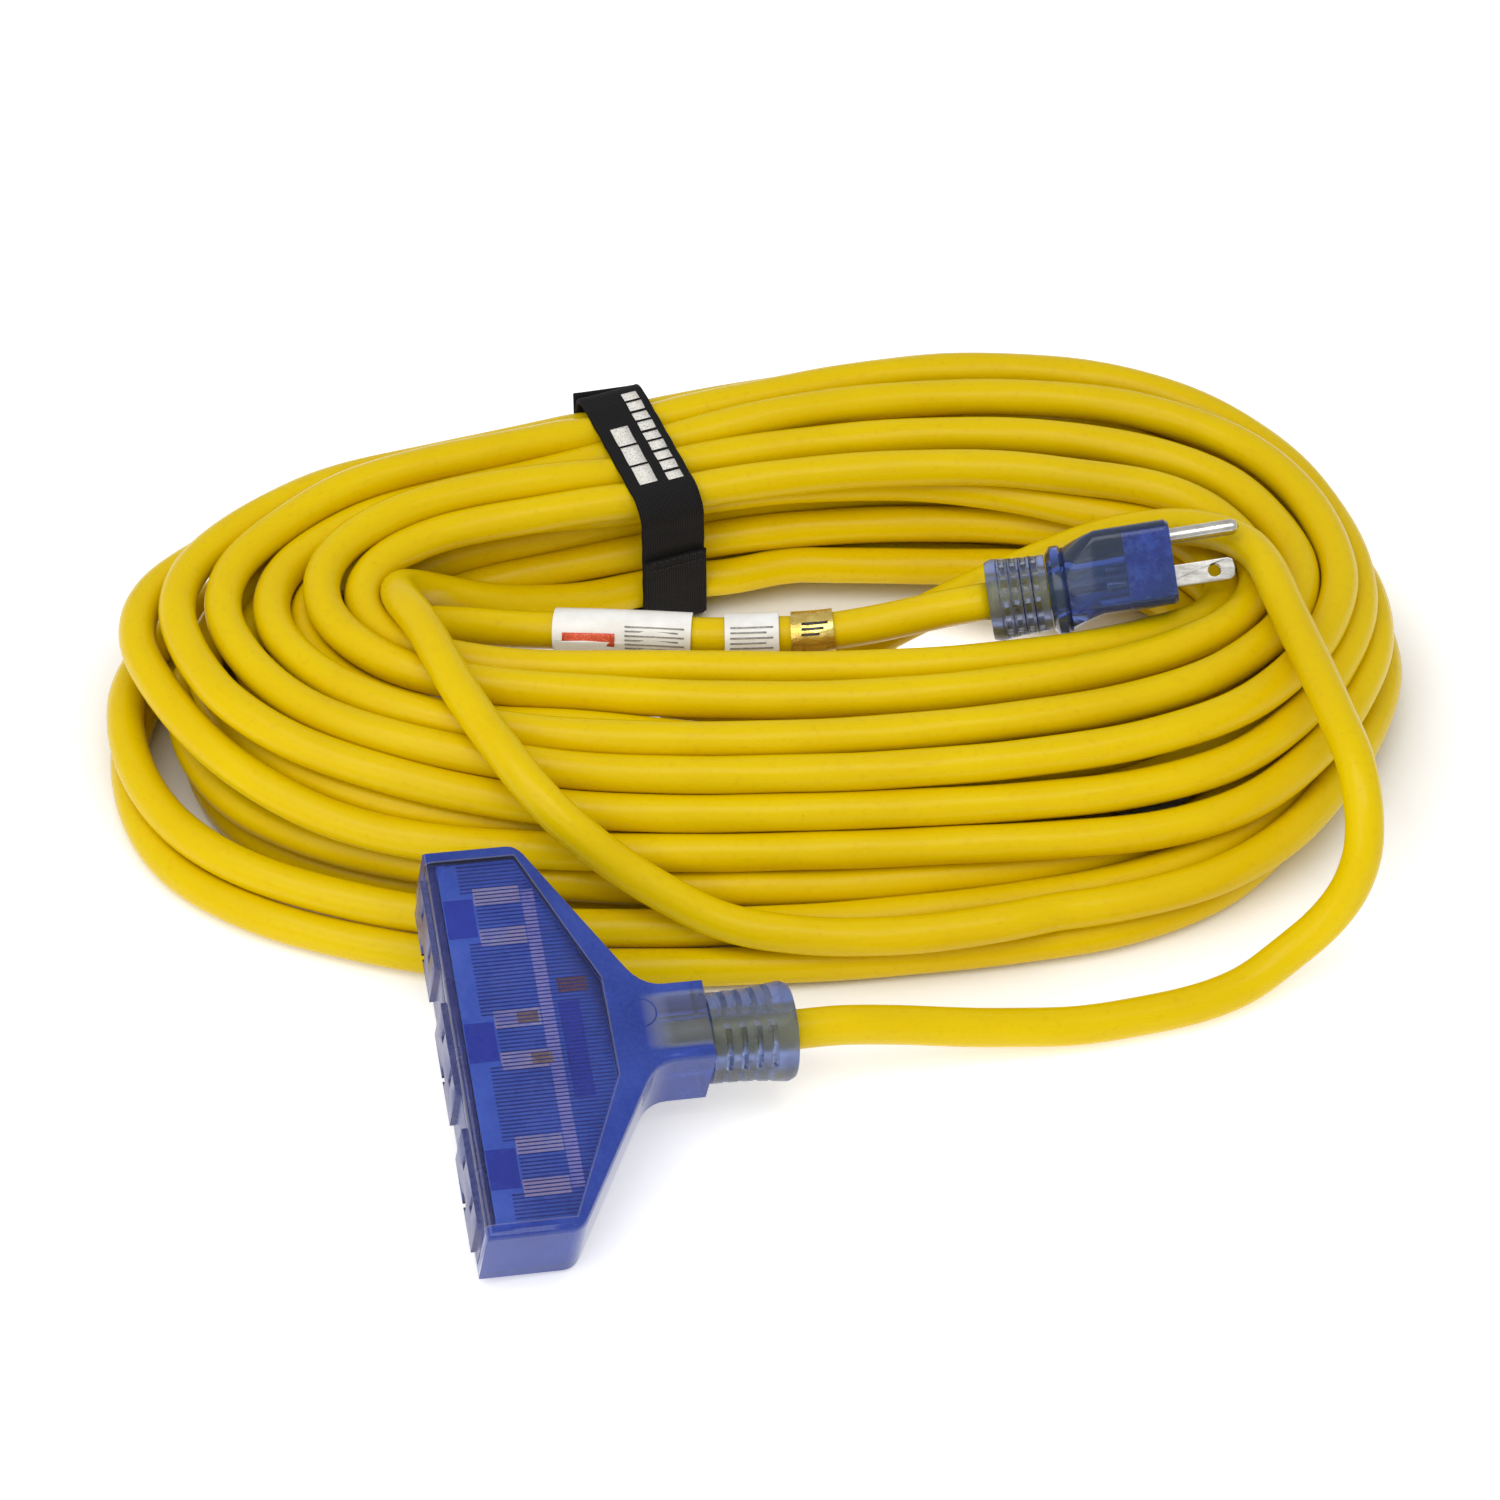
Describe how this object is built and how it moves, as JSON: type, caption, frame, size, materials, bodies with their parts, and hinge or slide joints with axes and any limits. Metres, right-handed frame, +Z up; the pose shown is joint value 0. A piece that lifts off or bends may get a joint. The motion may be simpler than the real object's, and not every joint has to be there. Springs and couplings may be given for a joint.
{
  "type": "extension cord",
  "caption": "Heavy-duty grounded extension cord in an oblong coil, with a straight plug, a fan-shaped multi-outlet socket block and a hook-and-loop strap.",
  "frame": {"origin": "middle of the underside of the whole assembly's box, on the surface that it stands on", "axes": "+X along the coil's long axis, towards the end that the socket's lead crosses; +Y away from the socket block, towards the strap; +Z up"},
  "size_m": [0.387, 0.3373, 0.0736],
  "materials": {
    "translucent_blue": "translucent tinted flexible PVC, smooth with light grain",
    "clear_insert": "clear moulded plastic, ribbed, slightly hazy",
    "cord_jacket": "semi-gloss yellow flexible PVC jacket",
    "contact_brass": "stamped, satin",
    "blade_nickel": "nickel-plated brass, satin",
    "insulation_black": "smooth wire insulation",
    "insulation_white": "smooth wire insulation",
    "insulation_green": "smooth wire insulation",
    "lamp_glass": "clear glass envelope",
    "resistor_ceramic": "matte coating",
    "strap_webbing": "black hook-and-loop webbing",
    "label_paper": "white film label, satin",
    "label_foil": "gold-coloured foil sticker"
  },
  "bodies": {
    "cord_set": {"socket_shell": "translucent_blue", "socket_strain_relief": "translucent_blue", "socket_outlet_face": "clear_insert", "socket_contact_carrier": "clear_insert", "socket_line_bus": "contact_brass", "socket_neutral_bus": "contact_brass", "socket_ground_bus": "contact_brass", "socket_lead_black": "insulation_black", "socket_lead_white": "insulation_white", "socket_lead_green": "insulation_green", "cord_end_in_socket": "cord_jacket", "indicator_lamp": "lamp_glass", "lamp_resistor": "resistor_ceramic", "plug_body": "translucent_blue", "plug_strain_relief": "translucent_blue", "plug_blade_holder": "clear_insert", "plug_blade_line": "blade_nickel", "plug_blade_neutral": "blade_nickel", "plug_ground_pin": "blade_nickel", "plug_crimp_line": "contact_brass", "plug_crimp_neutral": "contact_brass", "plug_crimp_ground": "contact_brass", "plug_lead_black": "insulation_black", "plug_lead_white": "insulation_white", "plug_lead_green": "insulation_green", "cord_end_in_plug": "cord_jacket", "cord_coil": "cord_jacket", "cord_socket_lead": "cord_jacket", "cord_plug_lead": "cord_jacket", "strap_band": "strap_webbing", "strap_hook_panel": "strap_webbing", "label_flag": "label_paper", "label_wrap": "label_paper", "label_foil": "label_foil"},
    "strap_free_end": {"strap_tab": "strap_webbing"}
  },
  "joints": [
    {"name": "strap_tab_peel", "type": "hinge", "parent": "cord_set", "child": "strap_free_end", "pos_m": [-0.04694, 0.1537, 0.0112], "axis": [-0.9326, -0.361, 0], "range_deg": [0, 85]}
  ]
}
